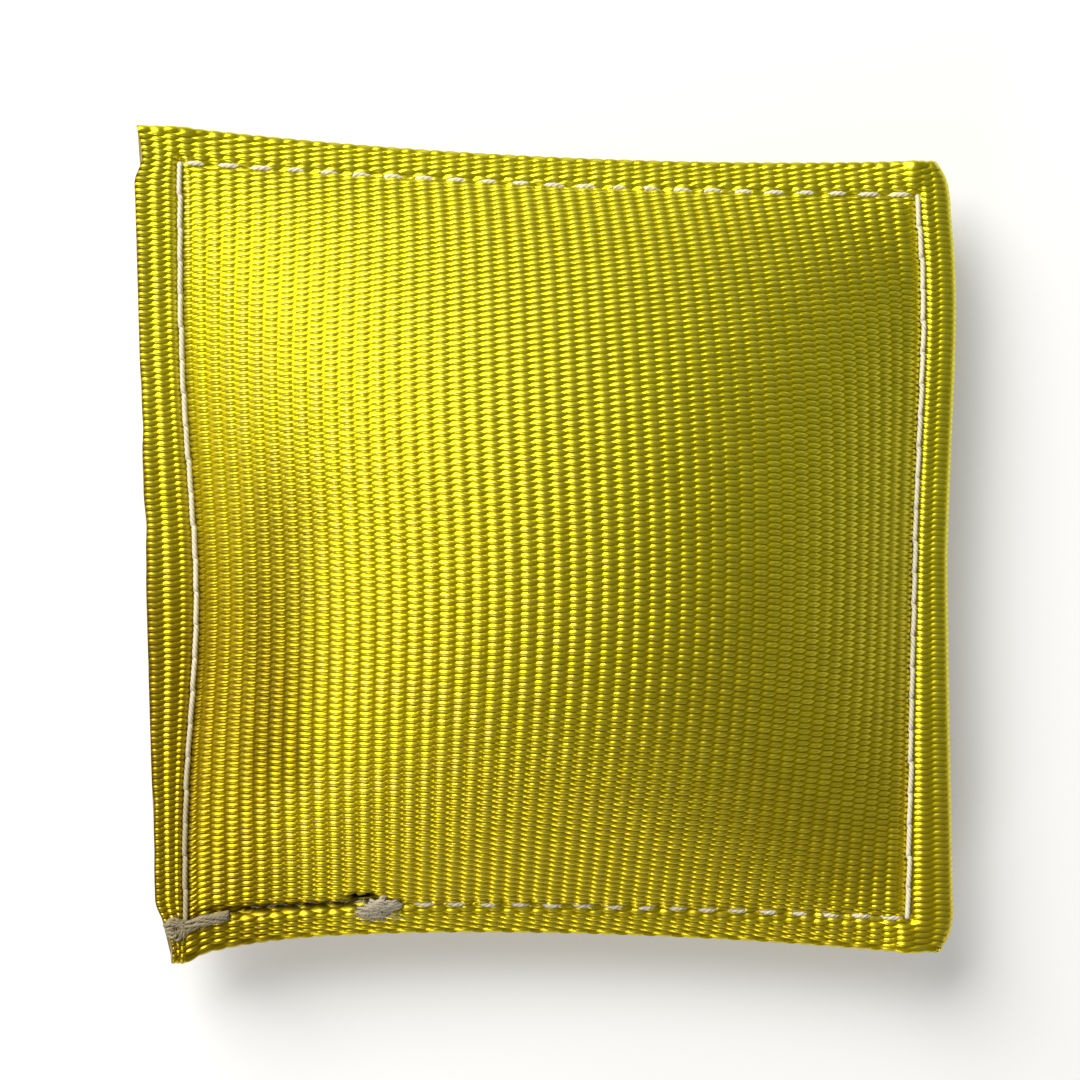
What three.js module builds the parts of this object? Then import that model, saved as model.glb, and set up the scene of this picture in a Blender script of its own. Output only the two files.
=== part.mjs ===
// A filled, sewn pouch made from one strip of wide lifting webbing folded in half.
// Millimetres, +Z up. +X runs along the webbing towards its fold, +Y across the webbing.
// The pouch lies on its flattened underside, at z = 0.

import * as THREE from 'three';

// ---------- driving dimensions ----------
const WEB_THICKNESS = 1.6;
const PLY_GAP = 0.3; // between the two plies where they are sewn together
const CROWN = 15.0; // height of the upper ply over the seam
const SAG = 8.0; // depth of the flattened underside below the seam
const SAG_ROUND = 11.5; // depth the underside would have if nothing held it up
const SWELL_POWER = 2.4; // roundness of the crown: 2 is a parabola, more is flatter on top
const SWELL_SHARPNESS = 0.9;

// The four corners of the sewn rectangle, and how far each side is pulled inwards.
const SEAM = {
  leftTop: [-43.4, 45.1],
  leftBottom: [-42.3, -45.0],
  rightTop: [45.8, 42.6],
  rightBottom: [44.6, -45.7],
  pull: { left: 2.1, right: 0.5, top: 0.8, bottom: 1.7 },
};

const LEFT_EDGE_TOP = -48.9; // x of the two cut ends of the strip
const LEFT_EDGE_BOTTOM = -46.4;
const SELVEDGE_WIDTH = 4.3; // webbing outside the upper and lower seams
const SELVEDGE_DROOP = THREE.MathUtils.degToRad(32); // how far it hangs at mid side
const FOLD_REACH = 5.0; // from the seam to the outside of the fold
const FOLD_RADIUS = 2.2;

const THREAD_RADIUS = 0.33;
const THREAD_CLEARANCE = 0.32;
const STITCH = 3.9;
const STITCH_RISE = 0.25; // how far the thread stands up between two needle holes
const FILL_CLEARANCE = 0.3;

// Where each run of stitches starts and ends, as shares of its seam's length.
const MAIN_SEAM = { left: [0.03, 0.985], top: [0, 1], right: [0.015, 0.985], bottom: [0.295, 1] };
const CLOSING_SEAM = [0.06, 0.215]; // the fill opening, sewn shut last
const BACK_TACKS = { corner: { at: 0.005, length: 7.6 }, gap: { at: 0.255, length: 5.6 } };
const TACK_WIDTH = 2.4;
const TACK_HEIGHT = 0.9;
const TACK_SHIFT = 1.9; // how far a back-tack lies outside the seam

// How finely the surfaces are divided.
const POUCH_STEPS = 16;
const EDGE_STEPS = 2;
const FOLD_STEPS = 6;
const THREAD_SIDES = 5;

// ---------- derived dimensions ----------
const HALF_SEAM = WEB_THICKNESS + PLY_GAP / 2; // from the seam's middle to the outside of a ply
const SEAM_Z = SAG + HALF_SEAM;

// ---------- materials ----------
function finish(color, roughness) {
  return new THREE.MeshStandardMaterial({ color, roughness, metalness: 0 });
}
const WEBBING = finish(0xd8c81f, 0.45);
const THREAD = finish(0xefe6cc, 0.6);
const WORN_THREAD = finish(0xb3a98c, 0.8);
const SHOT = finish(0x5d5f61, 0.35);

// ---------- the pouch's surface ----------
const mix = THREE.MathUtils.lerp;
const bow = (w) => 4 * w * (1 - w);
const clampUnit = (w) => THREE.MathUtils.clamp(w, 0, 1);

// 0 on a seam and 1 half way between two seams.
function swell(w) {
  const offCentre = Math.abs(2 * clampUnit(w) - 1);
  return (1 - offCentre ** SWELL_POWER) ** SWELL_SHARPNESS;
}

// The four seam lines, seen from above. u runs from the left seam to the right one,
// and v from the lower seam to the upper one.
const leftSeamX = (v) => mix(SEAM.leftBottom[0], SEAM.leftTop[0], v) + SEAM.pull.left * bow(v);
const rightSeamX = (v) => mix(SEAM.rightBottom[0], SEAM.rightTop[0], v) - SEAM.pull.right * bow(v);
const lowerSeamY = (u) => mix(SEAM.leftBottom[1], SEAM.rightBottom[1], u) + SEAM.pull.bottom * bow(u);
const upperSeamY = (u) => mix(SEAM.leftTop[1], SEAM.rightTop[1], u) - SEAM.pull.top * bow(u);

// A place on the strip: u and v are within the seams, and "out" says how far along the
// edge strip outside a seam the place is, from 0 on the seam to 1 on the edge.
// Returns x, y and the height of the middle between the two plies.
function planPoint({ u, v, outLeft = 0, outRight = 0, outTop = 0, outBottom = 0 }) {
  let x = mix(leftSeamX(v), rightSeamX(v), u);
  let y = mix(lowerSeamY(u), upperSeamY(u), v);
  x = mix(x, mix(LEFT_EDGE_BOTTOM, LEFT_EDGE_TOP, v), outLeft);
  x += outRight * (FOLD_REACH - FOLD_RADIUS);
  const droop = SELVEDGE_DROOP * bow(u);
  const beyond = SELVEDGE_WIDTH * (outTop + outBottom);
  y += Math.sign(outTop - outBottom) * beyond * Math.cos(droop);
  return new THREE.Vector3(x, y, SEAM_Z - beyond * Math.sin(droop));
}

const crownHeight = (u, v) => CROWN * swell(u) * swell(v);
const sagDepth = (u, v) => Math.min(SAG, SAG_ROUND * swell(u) * swell(v));

// One row of stations across the strip: the lower selvedge, the pouch, the upper selvedge.
function acrossStations() {
  const stations = [];
  for (let k = EDGE_STEPS; k > 0; k--) stations.push({ v: 0, outBottom: k / EDGE_STEPS });
  for (let k = 0; k <= POUCH_STEPS; k++) stations.push({ v: k / POUCH_STEPS });
  for (let k = 1; k <= EDGE_STEPS; k++) stations.push({ v: 1, outTop: k / EDGE_STEPS });
  return stations;
}

// The stations along one ply, from its cut end to where the fold starts.
function alongStations() {
  const stations = [];
  for (let k = EDGE_STEPS; k > 0; k--) stations.push({ u: 0, outLeft: k / EDGE_STEPS });
  for (let k = 0; k <= POUCH_STEPS; k++) stations.push({ u: k / POUCH_STEPS });
  stations.push({ u: 1, outRight: 1 });
  return stations;
}

// The outer and inner points of the strip's section at one station across it:
// along the upper ply, round the fold and back along the lower ply.
function stripSection(across) {
  const outer = [];
  const inner = [];
  const fold = planPoint({ u: 1, outRight: 1, ...across });
  const ply = (side) => (along) => {
    const place = { ...along, ...across };
    const p = planPoint(place);
    const inPouch = across.outTop || across.outBottom || along.outLeft || along.outRight ? 0 : 1;
    const bulge = inPouch * (side > 0 ? crownHeight(place.u, place.v) : sagDepth(place.u, place.v));
    const halfOuter = along.outRight ? FOLD_RADIUS : HALF_SEAM;
    outer.push(new THREE.Vector3(p.x, p.y, p.z + side * (halfOuter + bulge)));
    inner.push(new THREE.Vector3(p.x, p.y, p.z + side * (halfOuter - WEB_THICKNESS + bulge)));
  };
  alongStations().forEach(ply(+1));
  for (let k = 1; k < FOLD_STEPS; k++) {
    const angle = Math.PI / 2 - (Math.PI * k) / FOLD_STEPS;
    const around = new THREE.Vector3(Math.cos(angle), 0, Math.sin(angle));
    outer.push(fold.clone().addScaledVector(around, FOLD_RADIUS));
    inner.push(fold.clone().addScaledVector(around, FOLD_RADIUS - WEB_THICKNESS));
  }
  alongStations().reverse().forEach(ply(-1));
  return { outer, inner };
}

// ---------- closed meshes from grids ----------
// A closed skin between two grids of points of the same size: the front grid is seen
// from outside, the back grid from the other side, and strips close the four edges.
function closedSkin(front, back) {
  const rows = front.length;
  const cols = front[0].length;
  const points = [...front.flat(), ...back.flat()];
  const F = (r, c) => r * cols + c;
  const B = (r, c) => rows * cols + r * cols + c;
  const index = [];
  const quad = (a, b, c, d) => index.push(a, b, c, a, c, d);
  for (let r = 0; r < rows - 1; r++) {
    for (let c = 0; c < cols - 1; c++) {
      quad(F(r, c), F(r, c + 1), F(r + 1, c + 1), F(r + 1, c));
      quad(B(r, c), B(r + 1, c), B(r + 1, c + 1), B(r, c + 1));
    }
  }
  for (let c = 0; c < cols - 1; c++) {
    quad(F(0, c), B(0, c), B(0, c + 1), F(0, c + 1));
    quad(F(rows - 1, c), F(rows - 1, c + 1), B(rows - 1, c + 1), B(rows - 1, c));
  }
  for (let r = 0; r < rows - 1; r++) {
    quad(F(r, 0), F(r + 1, 0), B(r + 1, 0), B(r, 0));
    quad(F(r, cols - 1), B(r, cols - 1), B(r + 1, cols - 1), F(r + 1, cols - 1));
  }
  const geometry = new THREE.BufferGeometry().setFromPoints(points);
  geometry.setIndex(index);
  geometry.computeVertexNormals();
  return geometry;
}

function webbingCover() {
  const sections = acrossStations().map(stripSection);
  return closedSkin(sections.map((s) => s.outer), sections.map((s) => s.inner));
}

// The shot lies in the pouch as one lens, just clear of both plies.
function shotFill() {
  const upper = [];
  const lower = [];
  for (let j = 1; j < POUCH_STEPS; j++) {
    const v = j / POUCH_STEPS;
    const upperRow = [];
    const lowerRow = [];
    for (let i = 1; i < POUCH_STEPS; i++) {
      const u = i / POUCH_STEPS;
      const p = planPoint({ u, v });
      const clear = PLY_GAP / 2 - FILL_CLEARANCE;
      upperRow.push(new THREE.Vector3(p.x, p.y, p.z + clear + crownHeight(u, v)));
      lowerRow.push(new THREE.Vector3(p.x, p.y, p.z - clear - sagDepth(u, v)));
    }
    upper.push(upperRow);
    lower.push(lowerRow);
  }
  return closedSkin(upper, lower);
}

// ---------- threads ----------
// A path of straight pieces that is walked point by point, one step to each piece.
class PointPath extends THREE.Curve {
  constructor(points) {
    super();
    this.points = points;
  }
  getPointAt(w) {
    const at = w * (this.points.length - 1);
    const k = Math.min(Math.floor(at), this.points.length - 2);
    return this.points[k].clone().lerp(this.points[k + 1], at - k);
  }
  getTangentAt(w) {
    const last = this.points.length - 1;
    const k = Math.round(w * last);
    const before = this.points[Math.max(k - 1, 0)];
    const after = this.points[Math.min(k + 1, last)];
    return after.clone().sub(before).normalize();
  }
}

function threadTube(points) {
  const corners = Array.from({ length: THREAD_SIDES }, (_, k) => {
    const angle = (2 * Math.PI * k) / THREAD_SIDES;
    return new THREE.Vector2(THREAD_RADIUS * Math.cos(angle), THREAD_RADIUS * Math.sin(angle));
  });
  return new THREE.ExtrudeGeometry(new THREE.Shape(corners), {
    steps: points.length - 1,
    extrudePath: new PointPath(points),
    bevelEnabled: false,
  });
}

// A place on each seam, at a share w of the way along it.
const ON_SEAM = {
  left: (w) => ({ u: 0, v: w }),
  right: (w) => ({ u: 1, v: w }),
  top: (w) => ({ u: w, v: 1 }),
  bottom: (w) => ({ u: w, v: 0 }),
};

// The side of the pouch that a thread lies on.
const UPPER = +1;
const LOWER = -1;

// A run of lockstitches on one side of the pouch. The thread lies on the webbing at each
// needle hole and stands up a little between two holes.
function stitchRun(seam, side, from, to) {
  const place = ON_SEAM[seam];
  const length = planPoint(place(from)).distanceTo(planPoint(place(to)));
  const halfStitches = 2 * Math.round(length / STITCH);
  const points = [];
  for (let k = 0; k <= halfStitches; k++) {
    const p = planPoint(place(mix(from, to, k / halfStitches)));
    const rise = k % 2 ? STITCH_RISE : 0;
    p.z += side * (HALF_SEAM + THREAD_CLEARANCE + THREAD_RADIUS + rise);
    points.push(p);
  }
  return threadTube(points);
}

// A back-tack is a short bar of many stitches sewn over one another: a flat pad with
// round ends, highest along its middle, just outside the lower seam at a share w of it.
function backTack(side, w, length) {
  const outline = new THREE.Shape();
  const half = TACK_WIDTH / 2;
  outline.absarc(length / 2 - half, 0, half, -Math.PI / 2, Math.PI / 2);
  outline.absarc(half - length / 2, 0, half, Math.PI / 2, (3 * Math.PI) / 2);
  const pad = new THREE.ExtrudeGeometry(outline, {
    depth: TACK_HEIGHT / 2,
    bevelThickness: TACK_HEIGHT / 2,
    bevelSize: TACK_HEIGHT / 2,
    bevelOffset: -TACK_HEIGHT / 2,
    bevelSegments: 1,
    curveSegments: 5,
  });
  if (side === LOWER) pad.rotateX(Math.PI);
  pad.translate(0, -TACK_SHIFT, side * (HALF_SEAM + THREAD_CLEARANCE + TACK_HEIGHT / 2));
  pad.rotateX(SELVEDGE_DROOP * bow(w));
  const centre = planPoint(ON_SEAM.bottom(w));
  return pad.translate(centre.x, centre.y, centre.z);
}

// ---------- the assembly ----------
const pouch = new THREE.Group();

function add(name, geometry, material) {
  const mesh = new THREE.Mesh(geometry, material);
  mesh.name = name;
  pouch.add(mesh);
}

add('webbing_cover', webbingCover(), WEBBING);
add('shot_fill', shotFill(), SHOT);

for (const [thread, side] of [['needle', UPPER], ['bobbin', LOWER]]) {
  for (const [seam, [from, to]] of Object.entries(MAIN_SEAM)) {
    add(`${thread}_thread_${seam}`, stitchRun(seam, side, from, to), THREAD);
  }
  add(`closing_${thread}_thread`, stitchRun('bottom', side, ...CLOSING_SEAM), THREAD);
}
for (const [name, { at, length }] of Object.entries(BACK_TACKS)) {
  add(`${name}_backtack_upper`, backTack(UPPER, at, length), WORN_THREAD);
  add(`${name}_backtack_lower`, backTack(LOWER, at, length), WORN_THREAD);
}

// The origin is at the middle of the pouch's box, on the surface that it lies on.
const box = new THREE.Box3().setFromObject(pouch);
pouch.position.set(-(box.min.x + box.max.x) / 2, -(box.min.y + box.max.y) / 2, 0);

export default pouch;
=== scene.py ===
"""A sewn, shot-filled pouch of yellow webbing, in metres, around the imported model."""

import math

import bpy
import numpy as np
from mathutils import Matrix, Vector


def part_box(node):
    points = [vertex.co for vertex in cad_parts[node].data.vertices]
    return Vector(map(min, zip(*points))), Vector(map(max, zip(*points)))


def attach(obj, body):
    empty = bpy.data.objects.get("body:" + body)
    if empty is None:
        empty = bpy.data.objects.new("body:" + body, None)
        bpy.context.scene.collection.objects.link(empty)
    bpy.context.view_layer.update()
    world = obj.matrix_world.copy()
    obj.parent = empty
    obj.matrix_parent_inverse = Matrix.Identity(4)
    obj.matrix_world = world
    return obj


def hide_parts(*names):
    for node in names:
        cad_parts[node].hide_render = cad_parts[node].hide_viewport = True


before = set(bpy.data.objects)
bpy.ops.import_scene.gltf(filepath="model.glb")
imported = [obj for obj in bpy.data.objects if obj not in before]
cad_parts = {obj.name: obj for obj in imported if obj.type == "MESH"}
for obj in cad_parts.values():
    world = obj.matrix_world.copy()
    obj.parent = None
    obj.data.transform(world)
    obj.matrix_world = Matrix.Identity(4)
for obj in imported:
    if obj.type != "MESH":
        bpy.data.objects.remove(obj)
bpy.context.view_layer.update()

MM = 0.001
BOX_LOW, BOX_HIGH = (np.array(corner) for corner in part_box("webbing_cover"))
CENTRE_X, CENTRE_Y = (float(value) for value in (0.5 * (BOX_LOW + BOX_HIGH))[:2])
SEAM_HEIGHT = 0.5 * (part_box("needle_thread_left")[0][2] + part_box("bobbin_thread_left")[1][2])

# ---------- the webbing ----------
THICKNESS = 1.6 * MM
PLY_GAP = 0.3 * MM
HALF_GAP = (PLY_GAP + THICKNESS) / 2  # from the seam plane to a ply's middle surface
PICK = 1.8 * MM  # pitch of the ribs, along the webbing
ROW = 0.73 * MM  # pitch of the yarns that show in one rib, across the webbing
YARN_RISE = 0.39 * MM  # height of a yarn's arch over the hollows between yarns
YARN_SLANT = 0.22 * MM  # how far a yarn shifts sideways as it crosses a rib
WIDTH = 100 * MM
PLY_COLUMNS = 57  # ribs from a cut end to the fold
PLY_LENGTH = PLY_COLUMNS * PICK

# ---------- the sewn rectangle, as distances from the sides of the cover's box ----------
# Each pair of insets, in mm, is at the lower (or left) end and at the upper (or right) end of a
# seam. Between its ends the seam is pulled further in, by SEAM_PULL mm where it is deepest. A
# skew below 1 puts that place nearer the first end, and a peak above 1 narrows it.
SEAM_INSET = {"left": (6.0, 5.3), "right": (6.5, 5.4), "bottom": (5.4, 4.3), "top": (4.3, 6.8)}
SEAM_PULL = {"left": 1.65, "right": -0.9, "bottom": 2.1, "top": 0.8}
SEAM_SKEW = {"left": 0.82, "right": 3.7, "bottom": 0.62, "top": 1.0}
SEAM_PEAK = {"left": 5.5, "right": 1.5, "bottom": 1.0, "top": 1.0}
CUT_EDGE_INSET = (2.5, 0.0)  # of the cut ends, in mm, at the lower and upper corner
CUT_EDGE_RISE = math.radians(4)  # the cut edge curls up a little
SELVEDGE = 4.3 * MM  # webbing outside the upper and lower seams
SELVEDGE_DROOP = math.radians(32)
# How far the fold reaches past its seam, at the lower corner, half way and at the upper corner.
FOLD_REACH = (6.3 * MM, 4.9 * MM, 4.8 * MM)
FOLD_RADIUS = 2.2 * MM
FOLD_DROOP = math.radians(12)
CORNER_ROUNDING = (0.5 * MM, 1.9 * MM)  # of the fold's ends, half way out and at the selvedge
# How far the cut ends step in at their corners: at the seam, half way out and at the selvedge.
CUT_CORNER_LOWER = (0.9 * MM, 1.7 * MM, 1.8 * MM)
CUT_CORNER_UPPER = (0.8 * MM, 0.5 * MM, 0.1 * MM)
CUT_CORNER_DROP = 0.6 * MM  # the lower corner of the cut ends reaches further down,
CUT_CORNER_NEAR = 0.2  # over this share of the bottom seam

# ---------- the filled shape ----------
CROWN = BOX_HIGH[2] - SEAM_HEIGHT - THICKNESS - PLY_GAP / 2
SAG = SEAM_HEIGHT - BOX_LOW[2] - THICKNESS - PLY_GAP / 2
SAG_ROUND = 11.5 * MM
SWELL_POWER = 2.15
SWELL_SHARPNESS = 0.9
SWELL_FILLET = 0.055  # rounds the foot of the swelling where it meets the seams

# ---------- stitches ----------
STITCH = 3.9 * MM
THREAD_RADIUS = 0.34 * MM
THREAD_LAY = 2.0 * MM  # length of one turn of the thread's three strands
GROOVE_DEPTH = 0.45 * MM
GROOVE_WIDTH = 0.9 * MM
HOLE_DEPTH = 0.22 * MM
HOLE_WIDTH = 0.55 * MM
CREASE_SPAN = (11.5 * MM, 31 * MM)  # the closing seam lies in a deeper crease
CREASE_DEPTH = 0.75 * MM
CREASE_WIDTH = 0.5 * MM
GAP_CENTRE = (27.4 * MM, 5.4 * MM)  # a small opening left in the closing seam, on the strip
GAP_HALF = (1.5 * MM, 0.55 * MM)
GAP_DEPTH = 1.6 * MM

rng = np.random.default_rng(20)


# ---------- the middle surface of the strip, as a coarse grid ----------
EDGE_CELLS = 2
POUCH_CELLS = 40
FLAT_CELLS = 2
BEND_CELLS = 4
LEFT_LINE = EDGE_CELLS
RIGHT_LINE = LEFT_LINE + POUCH_CELLS
APEX_LINE = RIGHT_LINE + FLAT_CELLS + BEND_CELLS
LOWER_LINE = EDGE_CELLS
UPPER_LINE = LOWER_LINE + POUCH_CELLS
ALONG_LINES = 2 * APEX_LINE + 1
ACROSS_LINES = UPPER_LINE + EDGE_CELLS + 1
SEWN_LINES = slice(LOWER_LINE, UPPER_LINE + 1)
POUCH_SHARE = np.linspace(0, 1, POUCH_CELLS + 1)


def lerp(a, b, w):
    return a + (b - a) * w


def bow(w):
    return 4 * w * (1 - w)


def swell(w):
    """0 on a seam, 1 half way between two seams."""
    off_centre = np.abs(2 * np.clip(w, 0, 1) - 1)
    return (1 - off_centre**SWELL_POWER) ** SWELL_SHARPNESS


def inset(side, w):
    low, high = SEAM_INSET[side]
    pulled = bow(np.clip(w, 0, 1) ** SEAM_SKEW[side]) ** SEAM_PEAK[side]
    return (lerp(low, high, w) + SEAM_PULL[side] * pulled) * MM


def seam_plan(u, v):
    """x and y of a place in the pouch, from shares u and v of the way between its seams."""
    left = BOX_LOW[0] + inset("left", v)
    right = BOX_HIGH[0] - inset("right", v)
    bottom = BOX_LOW[1] + inset("bottom", u)
    top = BOX_HIGH[1] - inset("top", u)
    return lerp(left, right, u), lerp(bottom, top, v)


def smooth_min(a, b, reach):
    h = np.clip(0.5 + 0.5 * (b - a) / reach, 0, 1)
    return lerp(b, a, h) - reach * h * (1 - h)


def bulge(u, v, side):
    lift = np.hypot(swell(u) * swell(v), SWELL_FILLET) - SWELL_FILLET
    if side > 0:
        return CROWN / (math.hypot(1, SWELL_FILLET) - SWELL_FILLET) * lift
    return smooth_min(SAG_ROUND * lift, SAG, 2.0 * MM)


def even_shares(side, steps, across):
    """Shares that divide each line of the pouch into equal lengths of cloth. Row j of the result
    is the line at share j / steps of the other direction."""
    fine = np.linspace(0, 1, 241)
    shares = np.empty((steps + 1, steps + 1))
    for j in range(steps + 1):
        fixed = np.full_like(fine, j / steps)
        u, v = (fixed, fine) if across else (fine, fixed)
        x, y = seam_plan(u, v)
        z = bulge(u, v, side)
        length = np.concatenate([[0], np.cumsum(np.hypot(np.hypot(np.diff(x), np.diff(y)), np.diff(z)))])
        shares[j] = np.interp(np.linspace(0, 1, steps + 1), length / length[-1], fine)
    return shares


def lay_pouch(grid, side):
    """The filled part, between the seams."""
    u = even_shares(side, POUCH_CELLS, across=False).T
    v = even_shares(side, POUCH_CELLS, across=True)
    x, y = seam_plan(u, v)
    place = np.stack([x, y, HALF_GAP + bulge(u, v, side)], axis=-1)
    grid[LEFT_LINE : RIGHT_LINE + 1, SEWN_LINES] = place


def lay_cut_edge(grid, side):
    """The seam allowance on the left, out to the cut ends."""
    cut_x = BOX_LOW[0] + lerp(*CUT_EDGE_INSET, POUCH_SHARE) * MM
    for i in range(EDGE_CELLS):
        w = i / EDGE_CELLS
        row = grid[LEFT_LINE, SEWN_LINES].copy()
        row[:, 2] += side * math.tan(CUT_EDGE_RISE) * (row[:, 0] - cut_x) * (1 - w)
        row[:, 0] = lerp(cut_x, row[:, 0], w)
        grid[i, SEWN_LINES] = row


def lay_fold_side(grid, side):
    """The seam allowance on the right, out to where the webbing turns round the fold."""
    reach = np.interp(POUCH_SHARE, [0, 0.5, 1], FOLD_REACH) - FOLD_RADIUS
    drop = side * math.tan(FOLD_DROOP) * (FOLD_REACH[0] - FOLD_RADIUS)
    for i in range(1, FLAT_CELLS + 1):
        w = i / FLAT_CELLS
        row = grid[RIGHT_LINE, SEWN_LINES].copy()
        row[:, 0] += reach * w
        row[:, 2] = lerp(HALF_GAP, FOLD_RADIUS - THICKNESS / 2, w) - drop * w
        grid[RIGHT_LINE + i, SEWN_LINES] = row


def lay_selvedges(grid, side, at_u):
    """The seam allowances above and below, out to the selvedges."""
    droop = SELVEDGE_DROOP * np.sqrt(bow(at_u))
    for k in range(1, EDGE_CELLS + 1):
        beyond = SELVEDGE * k / EDGE_CELLS
        for line, step in ((UPPER_LINE, 1), (LOWER_LINE, -1)):
            row = grid[:, line].copy()
            row[:, 1] += step * beyond * np.cos(droop)
            row[:, 2] -= side * beyond * np.sin(droop)
            grid[:, line + step * k] = row


def shape_corners(grid, at_u):
    """The corners of the cut ends step in, the lower one reaches down, the fold's are rounded."""
    near = np.clip(1 - at_u / CUT_CORNER_NEAR, 0, 1) ** 2
    for k in range(EDGE_CELLS + 1):
        for i in range(EDGE_CELLS + 1):
            w = 1 - i / EDGE_CELLS
            grid[i, LOWER_LINE - k, 0] += CUT_CORNER_LOWER[k] * w
            grid[i, UPPER_LINE + k, 0] += CUT_CORNER_UPPER[k] * w
        grid[:, LOWER_LINE - k, 1] -= CUT_CORNER_DROP * k / EDGE_CELLS * near
    for k, rounding in enumerate(CORNER_ROUNDING, start=1):
        for i in range(1, FLAT_CELLS + 1):
            step = 0.5 * rounding * i / FLAT_CELLS
            grid[RIGHT_LINE + i, [LOWER_LINE - k, UPPER_LINE + k], 0] -= step


def ply_grid(side):
    """Points of one ply's middle surface, from its cut end to where the fold starts."""
    grid = np.empty((RIGHT_LINE + FLAT_CELLS + 1, ACROSS_LINES, 3))
    at_u = np.interp(np.arange(len(grid)), [LEFT_LINE, RIGHT_LINE], [0, 1])
    lay_pouch(grid, side)
    lay_cut_edge(grid, side)
    lay_fold_side(grid, side)
    lay_selvedges(grid, side, at_u)
    shape_corners(grid, at_u)
    grid[..., 2] = SEAM_HEIGHT + side * grid[..., 2]
    return grid


def strip_grid():
    """The whole strip: along the upper ply, round the fold and back along the lower ply."""
    upper, lower = ply_grid(+1), ply_grid(-1)
    grid = np.empty((ALONG_LINES, ACROSS_LINES, 3))
    grid[: len(upper)] = upper
    grid[-len(lower) :] = lower[::-1]
    radius = FOLD_RADIUS - THICKNESS / 2
    centre = 0.5 * (upper[-1] + lower[-1])
    for k in range(1, 2 * BEND_CELLS):
        line = len(upper) - 1 + k
        angle = math.pi / 2 * (1 - k / BEND_CELLS)
        grid[line] = centre + radius * np.array([math.cos(angle), 0, math.sin(angle)])
        for out, rounding in enumerate(CORNER_ROUNDING, start=1):
            step = 0.5 * rounding * math.cos(angle)
            grid[line, [LOWER_LINE - out, UPPER_LINE + out], 0] -= step
    return grid


def bordered(grid):
    """The grid with one more line on each side, carried on straight."""
    wide = np.pad(grid, ((1, 1), (1, 1), (0, 0)), mode="edge")
    wide[0] = 2 * wide[1] - wide[2]
    wide[-1] = 2 * wide[-2] - wide[-3]
    wide[:, 0] = 2 * wide[:, 1] - wide[:, 2]
    wide[:, -1] = 2 * wide[:, -2] - wide[:, -3]
    return wide


GRID = bordered(strip_grid())


# ---------- from the flat strip to the shaped one ----------
# s is measured along the strip from the upper cut end, t across it from its lower selvedge.
LEFT_MARGIN = 5.6 * MM  # the left seam's distance from the cut ends
RIGHT_MARGIN = PLY_LENGTH - 5.9 * MM  # where the right seam is
FOLD_START = PLY_LENGTH - 2.9 * MM
ALONG_KNOTS = (
    [0, LEFT_MARGIN, RIGHT_MARGIN, FOLD_START, PLY_LENGTH],
    [0, LEFT_LINE, RIGHT_LINE, RIGHT_LINE + FLAT_CELLS, APEX_LINE],
)
ACROSS_KNOTS = (
    [0, SELVEDGE, WIDTH - SELVEDGE, WIDTH],
    [0, LOWER_LINE, UPPER_LINE, ACROSS_LINES - 1],
)


def from_cut_end(s):
    """How far a place is from the nearer cut end, along the strip."""
    return np.minimum(s, 2 * PLY_LENGTH - s)


def cubic_weights(f):
    """Catmull-Rom weights and their derivatives for four neighbours."""
    w = np.stack([
        -0.5 * f + f**2 - 0.5 * f**3,
        1 - 2.5 * f**2 + 1.5 * f**3,
        0.5 * f + 2 * f**2 - 1.5 * f**3,
        -0.5 * f**2 + 0.5 * f**3,
    ])
    d = np.stack([
        -0.5 + 2 * f - 1.5 * f**2,
        -5 * f + 4.5 * f**2,
        0.5 + 4 * f - 4.5 * f**2,
        -f + 1.5 * f**2,
    ])
    return w, d


def middle_surface(s, t):
    """Points and outward normals of the strip's middle surface."""
    p = np.interp(from_cut_end(s), *ALONG_KNOTS)
    p = np.where(s > PLY_LENGTH, ALONG_LINES - 1 - p, p)
    q = np.interp(t, *ACROSS_KNOTS)
    i = np.clip(np.floor(p).astype(int), 0, ALONG_LINES - 2)
    j = np.clip(np.floor(q).astype(int), 0, ACROSS_LINES - 2)
    wi, di = cubic_weights(p - i)
    wj, dj = cubic_weights(q - j)
    point = np.zeros(s.shape + (3,))
    along = np.zeros_like(point)
    across = np.zeros_like(point)
    for a in range(4):
        for b in range(4):
            near = GRID[i + a, j + b]
            point += near * (wi[a] * wj[b])[..., None]
            along += near * (di[a] * wj[b])[..., None]
            across += near * (wi[a] * dj[b])[..., None]
    normal = np.cross(along, across)
    normal /= np.linalg.norm(normal, axis=-1, keepdims=True)
    return point, normal


def strip_point(s, t, z):
    """The place of a point of the strip, z above its middle surface."""
    point, normal = middle_surface(s, t)
    return point + normal * z[..., None]


def from_seam(s, t):
    """How far a place on the strip is from the nearest seam line, in the cloth."""
    folded = from_cut_end(s)
    in_x = np.clip(folded, LEFT_MARGIN, RIGHT_MARGIN)
    in_y = np.clip(t, SELVEDGE, WIDTH - SELVEDGE)
    to_sides = np.minimum(np.abs(folded - LEFT_MARGIN), np.abs(folded - RIGHT_MARGIN))
    to_ends = np.minimum(np.abs(t - SELVEDGE), np.abs(t - WIDTH + SELVEDGE))
    return np.minimum(np.hypot(to_sides, t - in_y), np.hypot(to_ends, folded - in_x))


def stitches_along(length):
    return int(round(length / STITCH))


def needle_holes(along, start, end):
    """How far a place is, along a seam, from the nearest needle hole."""
    stitches = stitches_along(end - start)
    pitch = (end - start) / stitches
    hole = np.clip(np.round((along - start) / pitch), 0, stitches)
    return along - start - hole * pitch


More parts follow.
